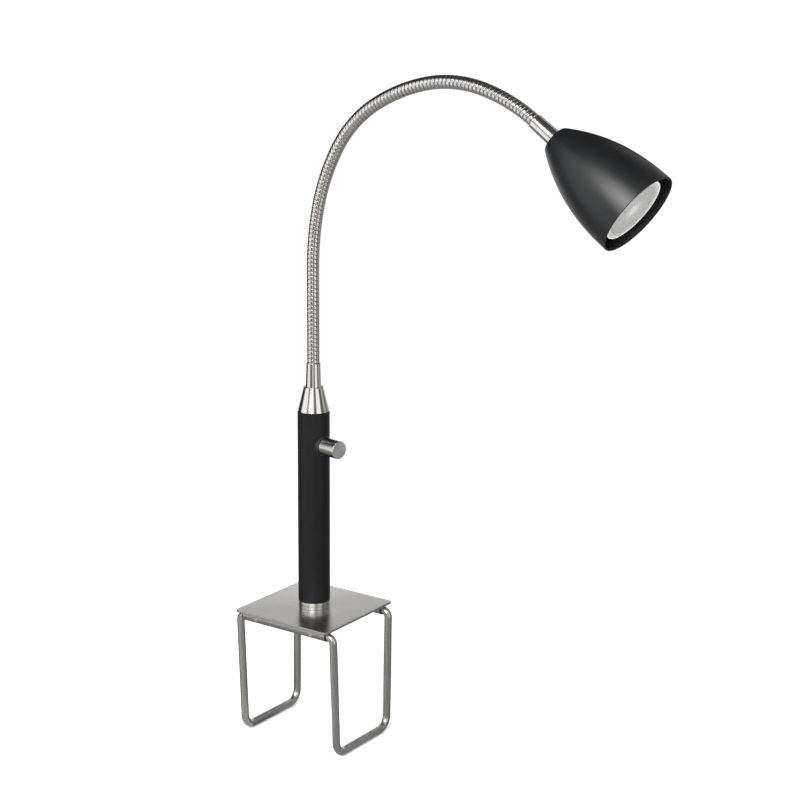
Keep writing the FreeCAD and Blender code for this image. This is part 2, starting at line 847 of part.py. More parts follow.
def make_head_leads(frame):
    bottom = size("head_ferrule_height") * -1
    leads = lead_pair("head_leads", Size.of(0), size("holder_bottom") - bottom,
                      size("lead_offset"))
    keep(leads, "head_leads", along_head(frame, bottom))


# Bulb, in the head's own frame

def bulb_back():
    return size("shade_length") - size("bulb_recess") - size("bulb_length")


def make_bulb_base(frame):
    """Plastic foot of the bulb, which carries the pins and rests on the lamp holder."""
    radius = size("bulb_neck_diameter") / 2
    height = size("bulb_base_height")
    edge = size("bulb_wall")
    turned("bulb_base", [(0, 0), (radius - edge, 0), (radius, edge), (radius, height),
                         (0, height)], along_head(frame, bulb_back()))


def make_bulb_pins(frame):
    length = size("pin_length")
    head_length = length / 3
    spacing = size("pin_spacing") / 2
    pins = []
    for side in (-1, 1):
        shank = cylinder("pin_shank", size("pin_diameter") / 2, length, (spacing * side, 0, 0))
        head = cylinder("pin_head", size("pin_head_diameter") / 2, head_length,
                        (spacing * side, 0, 0))
        pins.append(join("pin", [shank, head]))
    keep(join("bulb_pins", pins), "bulb_pins", along_head(frame, bulb_back() - length))


def make_bulb_housing(frame):
    """Funnel-shaped shell between the bulb's foot and its lens."""
    wall = size("bulb_wall")
    narrow = size("bulb_neck_diameter") / 2
    wide = size("bulb_diameter") / 2
    height = size("bulb_length") - size("bulb_base_height")
    rim = height - size("bulb_rim")
    lens_seat = height - size("lens_thickness")
    turned("bulb_housing", [(0, 0), (narrow, 0), (wide, rim), (wide, height),
                            (wide - wall, height), (wide - wall, lens_seat - wall),
                            (wide - wall * 2, rim - wall), (narrow - wall, wall * 2),
                            (0, wall * 2)],
           along_head(frame, bulb_back() + size("bulb_base_height")))


def make_bulb_lens(frame):
    radius = size("bulb_diameter") / 2 - size("bulb_wall") - size("fit_clearance")
    thickness = size("lens_thickness")
    edge = thickness * 0.2
    turned("bulb_lens", [(0, 0), (radius, 0), (radius, thickness - edge),
                         (radius - edge, thickness), (0, thickness)],
           along_head(frame, size("shade_length") - size("bulb_recess") - thickness))


def make_led_board(frame):
    radius = size("led_board_diameter") / 2
    thickness = size("led_board_thickness")
    turned("bulb_led_board", [(0, 0), (radius, 0), (radius, thickness), (0, thickness)],
           along_head(frame, size("shade_length") - size("bulb_recess") - size("bulb_rim")))


def make_head(frame):
    make_upper_ferrule(frame)
    make_shade(frame)
    make_nut("shade_lock_nut", size("nipple_diameter"), size("nut_height"),
             along_head(frame, size("shade_wall") + size("loose_clearance")))
    make_holder_bracket(frame)
    make_holder(frame)
    make_holder_screws(frame)
    make_head_leads(frame)
    make_bulb_base(frame)
    make_bulb_pins(frame)
    make_bulb_housing(frame)
    make_led_board(frame)
    make_bulb_lens(frame)


def check_and_export():
    doc.recompute()
    failed = [item.Label for item in doc.Objects
              if "Invalid" in item.State or "Error" in item.State]
    if failed:
        raise RuntimeError(f"these objects failed: {failed}")
    os.makedirs("parts", exist_ok=True)
    for item in nodes:
        if item.Shape.isNull() or not item.Shape.isValid() or item.Shape.Volume <= 0:
            raise RuntimeError(f"{item.Label} has no valid shape")
        item.Shape.exportStep(f"parts/{item.Label}.step")
        print(f"{item.Label}: {item.Shape.Volume:.1f} mm3, {len(item.Shape.Solids)} solids")


make_base_plate()
make_plate_fastenings()
make_guides()
make_guide_rings()
make_guide_screws()
make_loop("left_loop", -1, size("left_reach"))
make_loop("right_loop", 1, size("right_reach"))
make_collar()
make_post_tube()
make_cone_cap()
make_grommet()
make_terminal_block()
make_post_leads()
make_dimmer()
make_knob_seat()
make_knob()
make_lower_ferrule()
make_head(head_frame(*make_neck()))
check_and_export()
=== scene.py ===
"""Looks of the clip-on reading lamp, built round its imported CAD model.

Shapes are worked out in millimetres and made into meshes in metres, in the CAD model's frame.
"""
import json
import math

import bmesh
import bpy
from mathutils import Euler, Matrix, Vector


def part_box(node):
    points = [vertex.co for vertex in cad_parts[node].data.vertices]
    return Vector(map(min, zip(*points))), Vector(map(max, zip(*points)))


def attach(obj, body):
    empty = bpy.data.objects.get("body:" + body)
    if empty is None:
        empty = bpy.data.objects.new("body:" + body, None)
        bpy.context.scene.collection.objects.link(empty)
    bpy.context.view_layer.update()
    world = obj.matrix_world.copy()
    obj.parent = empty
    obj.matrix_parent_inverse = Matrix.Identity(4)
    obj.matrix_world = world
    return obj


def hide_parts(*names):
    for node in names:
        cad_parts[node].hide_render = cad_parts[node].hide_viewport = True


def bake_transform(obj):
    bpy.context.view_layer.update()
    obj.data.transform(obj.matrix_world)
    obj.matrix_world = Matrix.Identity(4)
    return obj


MM = 0.001

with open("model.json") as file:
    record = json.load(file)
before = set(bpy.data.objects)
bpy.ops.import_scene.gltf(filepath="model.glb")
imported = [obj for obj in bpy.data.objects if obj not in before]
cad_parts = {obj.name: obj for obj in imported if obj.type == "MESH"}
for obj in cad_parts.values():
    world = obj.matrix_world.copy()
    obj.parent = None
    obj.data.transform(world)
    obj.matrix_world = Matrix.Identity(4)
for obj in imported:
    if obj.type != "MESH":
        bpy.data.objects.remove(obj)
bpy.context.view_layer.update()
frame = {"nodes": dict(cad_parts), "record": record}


def box_mm(node):
    low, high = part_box(node)
    return low / MM, high / MM


# Camera

CAMERA_AT = Vector((0.80463, -1.0463, 0.49703))
CAMERA_HEADING = 34.633
CAMERA_PITCH = 13.525
CAMERA_ROLL = 0.474
CAMERA_LENS = 78.21

camera = bpy.data.objects.new("camera", bpy.data.cameras.new("camera"))
bpy.context.scene.collection.objects.link(camera)
camera.data.lens = CAMERA_LENS
camera.data.clip_start = 0.05
camera.data.clip_end = 200
camera.matrix_world = (
    Matrix.Translation(CAMERA_AT)
    @ Euler((math.radians(90 - CAMERA_PITCH), 0, math.radians(CAMERA_HEADING))).to_matrix().to_4x4()
    @ Matrix.Rotation(math.radians(CAMERA_ROLL), 4, "Z"))
bpy.context.scene.camera = camera


# Materials

def plain_material(name, colour, roughness, metallic=0.0, **sockets):
    material = bpy.data.materials.new(name)
    material.use_nodes = True
    shader = material.node_tree.nodes["Principled BSDF"]
    shader.inputs["Base Color"].default_value = (*colour, 1)
    shader.inputs["Roughness"].default_value = roughness
    shader.inputs["Metallic"].default_value = metallic
    for socket, value in sockets.items():
        shader.inputs[socket.replace("_", " ")].default_value = value
    return material


def add_node(tree, kind, inputs=None, **settings):
    """A shader node with its settings made and its inputs linked or set."""
    node = tree.nodes.new(kind)
    for name, value in settings.items():
        setattr(node, name, value)
    for key, value in (inputs or {}).items():
        if isinstance(value, bpy.types.NodeSocket):
            tree.links.new(value, node.inputs[key])
        else:
            node.inputs[key].default_value = value
    return node


def object_point(tree):
    return add_node(tree, "ShaderNodeTexCoord").outputs["Object"]


def noise(tree, point, scale, detail=3.0, stretch=None, roughness=0.5):
    """Noise with cells 1 / scale metres across, drawn out along an axis if stretch says so."""
    if stretch is not None:
        point = add_node(tree, "ShaderNodeMapping", {"Vector": point, "Scale": stretch}).outputs[0]
    return add_node(tree, "ShaderNodeTexNoise",
                    {"Vector": point, "Scale": scale, "Detail": detail,
                     "Roughness": roughness}).outputs["Fac"]


def spread(tree, value, low, high, out_low, out_high):
    return add_node(tree, "ShaderNodeMapRange",
                    {"Value": value, "From Min": low, "From Max": high,
                     "To Min": out_low, "To Max": out_high}).outputs["Result"]


def distance_out(tree, point):
    """Distance from the object's own Z axis."""
    flat = add_node(tree, "ShaderNodeVectorMath", {0: point, 1: (1, 1, 0)}, operation="MULTIPLY")
    return add_node(tree, "ShaderNodeVectorMath", {0: flat.outputs[0]},
                    operation="LENGTH").outputs["Value"]


def ring_lines(tree, point, scale):
    """Fine lines left by a lathe tool, round the object's own Z axis and on its end faces."""
    height = add_node(tree, "ShaderNodeSeparateXYZ", {"Vector": point}).outputs["Z"]
    along = add_node(tree, "ShaderNodeMath", {0: distance_out(tree, point), 1: height},
                     operation="ADD").outputs[0]
    return add_node(tree, "ShaderNodeTexNoise", {"W": along, "Scale": scale, "Detail": 4.0},
                    noise_dimensions="1D").outputs["Fac"]


def vary(material, grain, colour_range=0.08, rough_range=0.06, blotch=60.0, bump=0.05,
         bump_depth=0.00002):
    """Give a material its slow colour and gloss changes, and its fine grain as bump."""
    tree = material.node_tree
    shader = tree.nodes["Principled BSDF"]
    point = object_point(tree)
    slow = noise(tree, point, blotch, 4.0, roughness=0.6)
    base = Vector(shader.inputs["Base Color"].default_value[:3])
    dark = (*(base * (1 - colour_range)), 1)
    light = (*(base * (1 + colour_range)), 1)
    mix = add_node(tree, "ShaderNodeMix", {"Factor": spread(tree, slow, 0.3, 0.7, 0.0, 1.0)},
                   data_type="RGBA")
    mix.inputs[6].default_value = dark
    mix.inputs[7].default_value = light
    tree.links.new(mix.outputs[2], shader.inputs["Base Color"])
    rough = shader.inputs["Roughness"].default_value
    fine = grain(tree, point)
    both = add_node(tree, "ShaderNodeMath", {0: slow, 1: fine}, operation="ADD").outputs[0]
    tree.links.new(spread(tree, both, 0.7, 1.3, rough - rough_range, rough + rough_range),
                   shader.inputs["Roughness"])
    relief = add_node(tree, "ShaderNodeBump", {"Height": fine, "Strength": bump,
                                               "Distance": bump_depth})
    tree.links.new(relief.outputs[0], shader.inputs["Normal"])
    return material


def turned_grain(tree, point):
    return ring_lines(tree, point, 5200.0)


def brushed_grain(tree, point):
    """Long fine scratches along X, as on brushed sheet."""
    return noise(tree, point, 1.0, 5.0, stretch=(45.0, 3600.0, 3600.0), roughness=0.65)


def drawn_grain(tree, point):
    """Faint draw marks and pits of rolled wire or tube."""
    return noise(tree, point, 900.0, 5.0, roughness=0.7)


def satin_grain(tree, point):
    """Very fine even texture of ground and tumbled wire."""
    return noise(tree, point, 4200.0, 3.0, roughness=0.6)


def peel_grain(tree, point):
    """Orange peel of sprayed paint."""
    return noise(tree, point, 1500.0, 2.5)


def powder_grain(tree, point):
    """Finer, harder texture of a matte powder coat."""
    return noise(tree, point, 3200.0, 4.0, roughness=0.75)


def moulded_grain(tree, point):
    return noise(tree, point, 2400.0, 2.0)


def radial_tangent(material):
    """Run the gloss's streaks round the object's own Z axis, as lathe marks do."""
    tree = material.node_tree
    tangent = add_node(tree, "ShaderNodeTangent", direction_type="RADIAL", axis="Z")
    tree.links.new(tangent.outputs[0], tree.nodes["Principled BSDF"].inputs["Tangent"])
    return material


def tint(material, share, colour):
    """Lay a colour over a material's own, as strongly as the share says."""
    tree = material.node_tree
    base = tree.nodes["Principled BSDF"].inputs["Base Color"]
    mix = add_node(tree, "ShaderNodeMix", {"Factor": share}, data_type="RGBA")
    tree.links.new(base.links[0].from_socket, mix.inputs[6])
    mix.inputs[7].default_value = (*colour, 1)
    tree.links.new(mix.outputs[2], base)
    return material


def neck_material():
    """Bright plated gooseneck, its colour darkened down between its ridges as painted shade."""
    material = vary(plain_material("neck_steel", (0.74, 0.725, 0.70), 0.14, 1.0), drawn_grain,
                    0.04, 0.04, 90.0, 0.04)
    tree = material.node_tree
    groove = add_node(tree, "ShaderNodeAttribute", attribute_name="groove").outputs["Fac"]
    # Painted shade: the deeper a point lies between the ridges, the darker its colour.
    return tint(material, spread(tree, groove, 0.10, 1.0, 0.0, 0.60), (0.10, 0.097, 0.09))


def lens_material():
    """Clear moulded lens: warm in the middle where the chip shows through, pale at its rim."""
    material = vary(plain_material("bulb_lens", (0.38, 0.38, 0.375), 0.20, Coat_Weight=0.5,
                                   Coat_Roughness=0.08), moulded_grain, 0.05, 0.05, 260.0, 0.05)
    tree = material.node_tree
    radius = distance_out(tree, object_point(tree))
    tint(material, spread(tree, radius, 0.003, 0.009, 0.6, 0.0), (0.74, 0.70, 0.62))
    return tint(material, spread(tree, radius, 0.0212, 0.0218, 0.0, 0.5), (0.70, 0.70, 0.69))


MATERIALS = {
    "plate_steel": vary(plain_material("plate_steel", (0.64, 0.63, 0.61), 0.25, 1.0,
                                       Anisotropic=0.35), brushed_grain, 0.03, 0.04, 25.0, 0.03),
    "guide_steel": vary(plain_material("guide_steel", (0.36, 0.355, 0.345), 0.34, 1.0),
                        drawn_grain, 0.07, 0.06, 120.0, 0.12),
    "rod_steel": vary(plain_material("rod_steel", (0.56, 0.555, 0.54), 0.27, 1.0),
                      satin_grain, 0.03, 0.03, 60.0, 0.015, 0.00001),
    "turned_steel": radial_tangent(vary(
        plain_material("turned_steel", (0.76, 0.75, 0.725), 0.17, 1.0, Anisotropic=0.5,
                       Anisotropic_Rotation=0.25),
        turned_grain, 0.04, 0.04, 70.0, 0.10)),
    "neck_steel": neck_material(),
    "zinc_steel": vary(plain_material("zinc_steel", (0.72, 0.73, 0.72), 0.30, 1.0),
                       drawn_grain, 0.10, 0.08, 300.0, 0.15),
    "post_paint": vary(plain_material("post_paint", (0.0038, 0.0038, 0.0040), 0.46,
                                      Specular_IOR_Level=0.25),
                       powder_grain, 0.10, 0.05, 80.0, 0.22, 0.00003),
    "shade_paint": vary(plain_material("shade_paint", (0.0040, 0.0043, 0.0050), 0.37),
                        peel_grain, 0.08, 0.04, 45.0, 0.10, 0.00004),
    "black_plastic": vary(plain_material("black_plastic", (0.014, 0.014, 0.015), 0.42),
                          moulded_grain, 0.10, 0.06, 200.0, 0.15),
    "white_plastic": vary(plain_material("white_plastic", (0.74, 0.73, 0.70), 0.38),
                          moulded_grain, 0.03, 0.05, 150.0, 0.12),
    "outlet_rubber": vary(plain_material("outlet_rubber", (0.013, 0.013, 0.013), 0.68),
                          powder_grain, 0.12, 0.06, 260.0, 0.25),
    "lead_plastic": vary(plain_material("lead_plastic", (0.30, 0.17, 0.09), 0.45),
                         moulded_grain, 0.06, 0.05, 200.0, 0.10),
    "brass_parts": vary(plain_material("brass_parts", (0.75, 0.58, 0.28), 0.26, 1.0),
                        drawn_grain, 0.07, 0.06, 220.0, 0.12),
    "holder_ceramic": vary(plain_material("holder_ceramic", (0.80, 0.78, 0.73), 0.22,
                                          Coat_Weight=0.4), drawn_grain, 0.03, 0.06, 180.0, 0.12),
    "bulb_plastic": vary(plain_material("bulb_plastic", (0.74, 0.74, 0.73), 0.33),
                         moulded_grain, 0.02, 0.05, 140.0, 0.08),
    "bulb_lens": lens_material(),
    "board_aluminium": vary(plain_material("board_aluminium", (0.82, 0.82, 0.80), 0.35, 1.0),
                            brushed_grain, 0.04, 0.06, 120.0, 0.10),
}


def dress_cad_nodes():
    """Give every CAD node the material of its slot. The nodes that stay shown keep their meshes."""
    slots = {part["node"]: part["material_slot"] for part in frame["record"]["subparts"]}
    for name, node in frame["nodes"].items():
        node.data.materials.clear()
        node.data.materials.append(MATERIALS[slots.get(name, "black_plastic")])


# Mesh makers

SMOOTH_ANGLE = 38.0


def make_piece(name, points, faces, material, place=None, smooth_angle=SMOOTH_ANGLE):
    """An object from points in millimetres, with smooth shading up to an angle."""
    mesh = bpy.data.meshes.new(name)
    mesh.from_pydata([Vector(point) * MM for point in points], [], faces)
    work = bmesh.new()
    work.from_mesh(mesh)
    bmesh.ops.remove_doubles(work, verts=work.verts, dist=1e-7)
    bmesh.ops.recalc_face_normals(work, faces=work.faces)
    work.to_mesh(mesh)
    work.free()
    mesh.shade_smooth()
    mesh.set_sharp_from_angle(angle=math.radians(smooth_angle))
    mesh.materials.append(MATERIALS[material])
    piece = bpy.data.objects.new(name, mesh)
    bpy.context.scene.collection.objects.link(piece)
    if place is not None:
        piece.matrix_world = place
    return piece


def grid_faces(rows, columns, closed=False):
    """Faces between rows of points that each run round. Closed joins the last row to the first."""
    faces = []
    for row in range(rows if closed else rows - 1):
        other = (row + 1) % rows
        for column in range(columns):
            following = (column + 1) % columns
            faces.append((row * columns + column, row * columns + following,
                          other * columns + following, other * columns + column))
    return faces


def ring(radius, height, turns):
    """Points round a circle about the Z axis."""
    angles = (2 * math.pi * turn / turns for turn in range(turns))
    return [(radius * math.cos(angle), radius * math.sin(angle), height) for angle in angles]


def softened(corners, closed, steps=5):
    """A line through (across, up, rounding) corners, with each corner rounded by its rounding.

    A point just outside each rounding keeps the flats beside it flat when they are shaded.
    """
    line = []
    count = len(corners)
    for index, corner in enumerate(corners):
        here = Vector(corner[:2])
        rounding = corner[2] if len(corner) > 2 else 0.0
        if rounding == 0 or (not closed and index in (0, count - 1)):
            line.append(here)
            continue
        before = Vector(corners[index - 1][:2]) - here
        after = Vector(corners[(index + 1) % count][:2]) - here
        opening = before.angle(after)
        reach = min(rounding / math.tan(opening / 2), before.length * 0.46, after.length * 0.46)
        first = here + before.normalized() * reach
        last = here + after.normalized() * reach
        line.append(here + before.normalized() * reach * 1.06)
        for step in range(steps + 1):
            share = step / steps
            line.append(first * (1 - share) ** 2 + here * 2 * share * (1 - share)
                        + last * share ** 2)
        line.append(here + after.normalized() * reach * 1.06)
    return line


def turned(name, corners, material, place=None, closed=True, turns=96, **settings):
    """A solid of revolution about its own Z axis, from (radius, height, rounding) corners."""
    line = softened(corners, closed)
    points = [point for spot in line for point in ring(spot.x, spot.y, turns)]
    return make_piece(name, points, grid_faces(len(line), turns, closed), material, place,
                      **settings)


def axis_place(origin, along, side=None):
    """Placement in metres whose Z runs along a direction, and whose X leans towards side."""
    up = Vector(along).normalized()
    across = Vector(side) if side is not None else up.orthogonal()
    across = (across - up * across.dot(up)).normalized()
    turn = Matrix((across, up.cross(across), up)).transposed()
    return Matrix.Translation(Vector(origin) * MM) @ turn.to_4x4()


def raised(height):
    return Matrix.Translation((0, 0, height * MM))


def joined(name, pieces):
    """One object from several, in the frame of the first."""
    first = pieces[0]
    work = bmesh.new()
    bpy.context.view_layer.update()
    home = first.matrix_world.inverted()
    for piece in pieces:
        copy = piece.data.copy()
        copy.transform(home @ piece.matrix_world)
        work.from_mesh(copy)
        bpy.data.meshes.remove(copy)
    work.to_mesh(first.data)
    work.free()
    for piece in pieces[1:]:
        bpy.data.objects.remove(piece)
    first.name = name
    return first


def bored(piece, radius, start, along, length):
    """Cut a round hole through a piece."""
    cutter = turned("hole_cutter", [(0, 0), (radius, 0), (radius, length), (0, length)],
                    "black_plastic", axis_place(start, along), closed=False, turns=48)
    cut = piece.modifiers.new("hole", "BOOLEAN")
    cut.operation = "DIFFERENCE"
    cut.solver = "EXACT"
    cut.object = cutter
    bpy.context.view_layer.update()
    graph = bpy.context.evaluated_depsgraph_get()
    mesh = bpy.data.meshes.new_from_object(piece.evaluated_get(graph))
    piece.modifiers.clear()
    piece.data = mesh
    bpy.data.objects.remove(cutter)
    mesh.shade_smooth()
    mesh.set_sharp_from_angle(angle=math.radians(SMOOTH_ANGLE))


def stands_for(piece, body, node):
    """Have a piece move with a body and be shown in place of a CAD node."""
    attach(piece, body)
    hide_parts(node)


# Plate and what holds the post to it

PLATE_CORNER = 3.0
PLATE_EDGE = 0.35
NIPPLE_RADIUS = 5.0
NIPPLE_WALL = 1.5
NIPPLE_CHAMFER = 0.9
NUT_ACROSS_FLATS = 14.0
NUT_CHAMFER = 0.5
THREAD_PITCH = 1.0
THREAD_DEPTH = 0.55
WASHER_GAP = 0.2
FIT_GAP = 0.05


def make_plate():
    """Square sheet with rounded corners, softened edges and a hole for the nipple."""
    low, high = box_mm("base_plate")
    half = high.x
    steps = 10
    outline = []
    for quarter in range(4):
        centre_angle = math.radians(45 + 90 * quarter)
        corner = Vector((math.copysign(half - PLATE_CORNER, math.cos(centre_angle)),
                         math.copysign(half - PLATE_CORNER, math.sin(centre_angle))))
        for step in range(steps + 1):
            angle = math.radians(90 * quarter + 90 * step / steps)
            outline.append((corner, Vector((math.cos(angle), math.sin(angle)))))
    section = softened([(-0.6, low.z), (0.0, low.z, PLATE_EDGE), (0.0, high.z, PLATE_EDGE),
                        (-0.6, high.z)], closed=False)
    hole = [(corner + way).normalized() * (NIPPLE_RADIUS + WASHER_GAP)
            for corner, way in outline]
    points = [(at.x, at.y, low.z) for at in hole]
    for spot in section:
        for corner, way in outline:
            at = corner + way * (PLATE_CORNER + spot.x)
            points.append((at.x, at.y, spot.y))
    points += [(at.x, at.y, high.z) for at in hole]
    faces = grid_faces(len(section) + 2, len(outline), closed=True)
    stands_for(make_piece("plate", points, faces, "plate_steel"), "root", "base_plate")


def hexagon_ring(across_flats, height, turns, limit=math.inf):
    """Points round a hexagon about the Z axis, none further out than a limit."""
    sixth = math.pi / 3
    points = []
    for turn in range(turns):
        angle = 2 * math.pi * turn / turns
        off_flat = (angle + sixth / 2) % sixth - sixth / 2
        radius = min(across_flats / 2 / math.cos(off_flat), limit)
        points.append((radius * math.cos(angle), radius * math.sin(angle), height))
    return points


def hexagon_nut(name, height, bore, place):
    """A nut whose corners are chamfered on both faces, as cold-formed nuts are."""
    turns = 96
    levels = [0.0, 0.12, 0.25, 0.4, 0.6, 0.9]
    heights = levels + [height - level for level in reversed(levels)]
    points = []
    for up in heights:
        depth = min(up, height - up)
        limit = NUT_ACROSS_FLATS / 2 * 0.985 + depth / math.tan(math.radians(30))
        points += hexagon_ring(NUT_ACROSS_FLATS, up, turns, limit)
    wide = bore + NUT_CHAMFER
    inner = [(wide, height), (bore, height - NUT_CHAMFER), (bore, NUT_CHAMFER), (wide, 0.0)]
    for radius, up in inner:
        points += ring(radius, up, turns)
    faces = grid_faces(len(heights) + len(inner), turns, closed=True)
    return make_piece(name, points, faces, "zinc_steel", place, smooth_angle=24.0)


def make_plate_fastenings():
    low, high = box_mm("under_plate_washer")
    bore = NIPPLE_RADIUS + WASHER_GAP
    washer = turned("washer", [(bore, low.z, 0.1), (high.x, low.z, 0.25),
                               (high.x, high.z, 0.1), (bore, high.z, 0.1)], "zinc_steel")
    stands_for(washer, "root", "under_plate_washer")
    low, high = box_mm("under_plate_nut")
    nut = hexagon_nut("plate_nut", high.z - low.z, NIPPLE_RADIUS + FIT_GAP, raised(low.z))
    stands_for(nut, "root", "under_plate_nut")
    low, high = box_mm("threaded_nipple")
    bore, tip = NIPPLE_RADIUS - NIPPLE_WALL, NIPPLE_RADIUS - NIPPLE_CHAMFER
    threads = [(bore, low.z), (tip, low.z)]
    up = low.z + 0.3
    while up < high.z - THREAD_PITCH:
        threads += [(NIPPLE_RADIUS - THREAD_DEPTH, up), (NIPPLE_RADIUS, up + THREAD_PITCH * 0.5)]
        up += THREAD_PITCH
    threads += [(tip, high.z), (bore, high.z)]
    nipple = turned("nipple", threads, "zinc_steel", turns=64, smooth_angle=70.0)
    stands_for(nipple, "root", "threaded_nipple")


# Guides and loops

ROD_RADIUS = 3.1
GUIDE_BORE = 3.2
RING_BORE = 3.5
SCREW_STATION = 27.5
SCREW_RADIUS = 1.5
SCREW_CHAMFER = 0.25
SCREW_TIP = 3.35
SOCKET_ACROSS_FLATS = 1.5
TOP_BEND = 5.2
BOTTOM_BEND = 10.0
FRONT_LEAN = 4.6
REAR_LEAN = 1.3


def make_guides():
    for name, node in (("guide_front", "front_guide_tube"), ("guide_rear", "rear_guide_tube")):
        low, high = box_mm(node)
        radius = (high.z - low.z) / 2
        across = high.y - radius if name == "guide_front" else low.y + radius
        length = high.x - low.x
        tube = turned(name, [(GUIDE_BORE, 0, 0.1), (radius, 0, 0.2), (radius, length, 0.2),
                             (GUIDE_BORE, length, 0.1)], "guide_steel",
                      axis_place((low.x, across, low.z + radius), (1, 0, 0)), turns=64)
        stands_for(tube, "root", node)


def make_guide_rings():
    low, high = box_mm("guide_end_rings")
    radius = (high.z - low.z) / 2
    offset = high.y - radius
    inner = box_mm("front_guide_tube")[1].x
    length = high.x - inner
    rings = [turned("ring", [(RING_BORE, 0), (radius, 0, 0.05), (radius, length, 0.3),
                             (RING_BORE, length, 0.2)], "black_plastic",
                    axis_place((inner * end, offset * side, radius), (end, 0, 0)), turns=64)
             for side in (-1, 1) for end in (-1, 1)]
    stands_for(joined("guide_rings", rings), "root", "guide_end_rings")


def socket_screw(place, length):
    """A grub screw: chamfered face with a hexagon socket."""
    turns = 48
    socket_floor = length * 0.4
    points = []
    for radius, up in ((0.0, 0.0), (SCREW_RADIUS, 0.0), (SCREW_RADIUS, length - SCREW_CHAMFER),
                       (SCREW_RADIUS - SCREW_CHAMFER, length)):
        points += ring(radius, up, turns)
    for up in (length, socket_floor):
        points += hexagon_ring(SOCKET_ACROSS_FLATS, up, turns)
    points += [(0, 0, socket_floor)] * turns
    faces = grid_faces(len(points) // turns, turns)
    return make_piece("set_screw", points, faces, "zinc_steel", place)


def make_set_screws():
    low, high = box_mm("guide_set_screws")
    radius = box_mm("front_guide_tube")[1].z / 2
    offset = box_mm("guide_end_rings")[1].y - radius
    length = high.y - offset - SCREW_TIP
    screws = [socket_screw(axis_place((SCREW_STATION * end, side * (offset + SCREW_TIP), radius),
                                      (0, side, 0)), length)
              for side in (-1, 1) for end in (-1, 1)]
    stands_for(joined("set_screws", screws), "root", "guide_set_screws")


def rounded_path(corners, radii, step_angle=4.0):
    """Points along straight runs joined by arcs of the given radii."""
    path = [corners[0]]
    for before, corner, after, radius in zip(corners, corners[1:], corners[2:], radii):
        back = (before - corner).normalized()
        ahead = (after - corner).normalized()
        half = back.angle(ahead) / 2
        first = corner + back * (radius / math.tan(half))
        centre = corner + (back + ahead).normalized() * (radius / math.sin(half))
        turn = math.pi - 2 * half
        axis = (first - centre).cross(-back).normalized()
        steps = max(4, round(math.degrees(turn) / step_angle))
        path.append(first + back * 0.4)
        for step in range(steps + 1):
            path.append(centre + Matrix.Rotation(turn * step / steps, 3, axis) @ (first - centre))
        path.append(path[-1] + ahead * 0.4)
    path.append(corners[-1])
    return path


def swept_rod(name, path, radius, material, sides=48, chamfer=0.5):
    """A round rod along a path, chamfered at both ends."""
    start_way = (path[1] - path[0]).normalized()
    end_way = (path[-1] - path[-2]).normalized()
    path = ([path[0], path[0], path[0] + start_way * chamfer] + path[1:-1]
            + [path[-1] - end_way * chamfer, path[-1], path[-1]])
    radii = [0.0, radius - chamfer, radius] + [radius] * (len(path) - 6) + [
        radius, radius - chamfer, 0.0]
    side = start_way.orthogonal().normalized()
    points = []
    for index, spot in enumerate(path):
        ahead = path[min(index + 1, len(path) - 1)] - spot
        back = spot - path[max(index - 1, 0)]
        way = start_way if index < 2 else end_way if index > len(path) - 3 else (
            ahead.normalized() + back.normalized()).normalized()
        side = (side - way * side.dot(way)).normalized()
        other = way.cross(side)
        for turn in range(sides):
            angle = 2 * math.pi * turn / sides
            points.append(spot + (side * math.cos(angle) + other * math.sin(angle))
                          * radii[index])
    return make_piece(name, points, grid_faces(len(path), sides), material)


def make_loops():
    height = box_mm("front_guide_tube")[1].z / 2
    offset = box_mm("guide_end_rings")[1].y - height
    for node, end in (("left_loop", -1), ("right_loop", 1)):
        low, high = box_mm(node)
        outer = low.x + ROD_RADIUS if end < 0 else high.x - ROD_RADIUS
        inner = high.x if end < 0 else low.x
        bottom = low.z + ROD_RADIUS
        corners = [Vector((inner, -offset, height)), Vector((outer, -offset, height)),
                   Vector((outer, FRONT_LEAN - offset, bottom)),
                   Vector((outer, offset - REAR_LEAN, bottom)),
                   Vector((outer, offset, height)), Vector((inner, offset, height))]
        path = rounded_path(corners, [TOP_BEND, BOTTOM_BEND, BOTTOM_BEND, TOP_BEND])
        rod = swept_rod(f"rod_{node}", path, ROD_RADIUS, "rod_steel")
        stands_for(rod, node, node)


# Post

SPIGOT_HEIGHT = 8.0
COLLAR_GROOVE = 0.9
CONE_TOP_RADIUS = 7.9
STEM_RADIUS = 4.0
GROMMET_BORE = 3.1
GROMMET_WAIST = 4.2
GROMMET_WAIST_LENGTH = 2.0
GROMMET_INNER = 8.8
GROMMET_OUTER = 15.3
OUTLET_AZIMUTH = 125.0
POST_WALL = 1.5


def level_way(azimuth):
    turn = math.radians(azimuth)
    return Vector((math.cos(turn), math.sin(turn), 0))


def make_collar():
    low, high = box_mm("base_collar")
    radius = high.x
    top = high.z - SPIGOT_HEIGHT
    middle = (low.z + top) / 2
    bore = NIPPLE_RADIUS + FIT_GAP
    spigot = radius - POST_WALL - FIT_GAP
    collar = turned("collar", [
        (bore, low.z), (radius, low.z, 0.45), (radius, middle - 0.4, 0.15),
        (radius - COLLAR_GROOVE, middle - 0.3, 0.1), (radius - COLLAR_GROOVE, middle + 0.3, 0.1),
        (radius, middle + 0.4, 0.15), (radius, top, 0.35), (spigot, top), (spigot, high.z),
        (bore, high.z)], "rod_steel", turns=128)
    stands_for(collar, "root", "base_collar")


def make_post():
    low, high = box_mm("post_tube")
    radius = high.x
    post = turned("post", [(radius - POST_WALL, low.z, 0.1), (radius, low.z, 0.3),
                           (radius, high.z, 0.3), (radius - POST_WALL, high.z, 0.1)],
                  "post_paint", turns=128)
    outlet = box_mm("cable_grommet")
    height = (outlet[0].z + outlet[1].z) / 2
    bored(post, GROMMET_WAIST, (0, 0, height), level_way(OUTLET_AZIMUTH), radius * 1.5)
    stands_for(post, "root", "post_tube")


